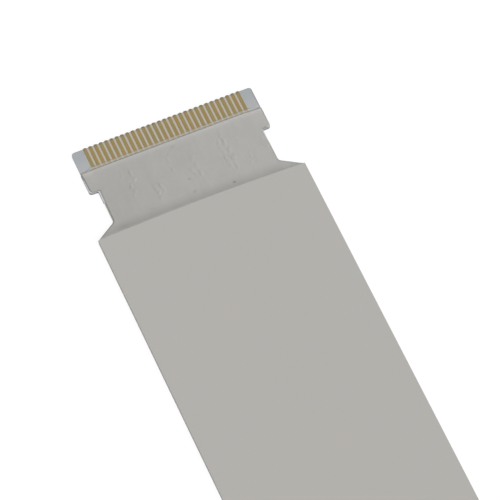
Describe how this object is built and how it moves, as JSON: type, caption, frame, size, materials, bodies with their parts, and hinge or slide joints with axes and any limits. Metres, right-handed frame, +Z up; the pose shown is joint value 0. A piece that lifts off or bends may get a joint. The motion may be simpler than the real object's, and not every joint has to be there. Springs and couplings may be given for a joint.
{
  "type": "flat flex cable",
  "caption": "Flat flex cable with stiffened contact ends, locking ears beside the contacts, a narrower neck and a wider covered body.",
  "frame": {"origin": "middle of the cable, on the surface that it lies on", "axes": "+Y along the cable towards the front contact end, +X across it, +Z up out of the contact face"},
  "size_m": [0.0194, 0.1502, 0.0006],
  "materials": {
    "cover_film": "satin",
    "top_film": "satin",
    "base_film": "glossy",
    "stiffener": "satin",
    "conductor": "gold plated"
  },
  "bodies": {
    "root": {"bottom_cover": "cover_film", "front_stiffener": "stiffener", "back_stiffener": "stiffener", "base_film": "base_film", "top_film": "top_film", "top_cover": "cover_film", "conductor_01": "conductor", "conductor_02": "conductor", "conductor_03": "conductor", "conductor_04": "conductor", "conductor_05": "conductor", "conductor_06": "conductor", "conductor_07": "conductor", "conductor_08": "conductor", "conductor_09": "conductor", "conductor_10": "conductor", "conductor_11": "conductor", "conductor_12": "conductor", "conductor_13": "conductor", "conductor_14": "conductor", "conductor_15": "conductor", "conductor_16": "conductor", "conductor_17": "conductor", "conductor_18": "conductor", "conductor_19": "conductor", "conductor_20": "conductor", "conductor_21": "conductor", "conductor_22": "conductor", "conductor_23": "conductor", "conductor_24": "conductor", "conductor_25": "conductor", "conductor_26": "conductor", "conductor_27": "conductor", "conductor_28": "conductor", "conductor_29": "conductor", "conductor_30": "conductor"}
  },
  "joints": []
}
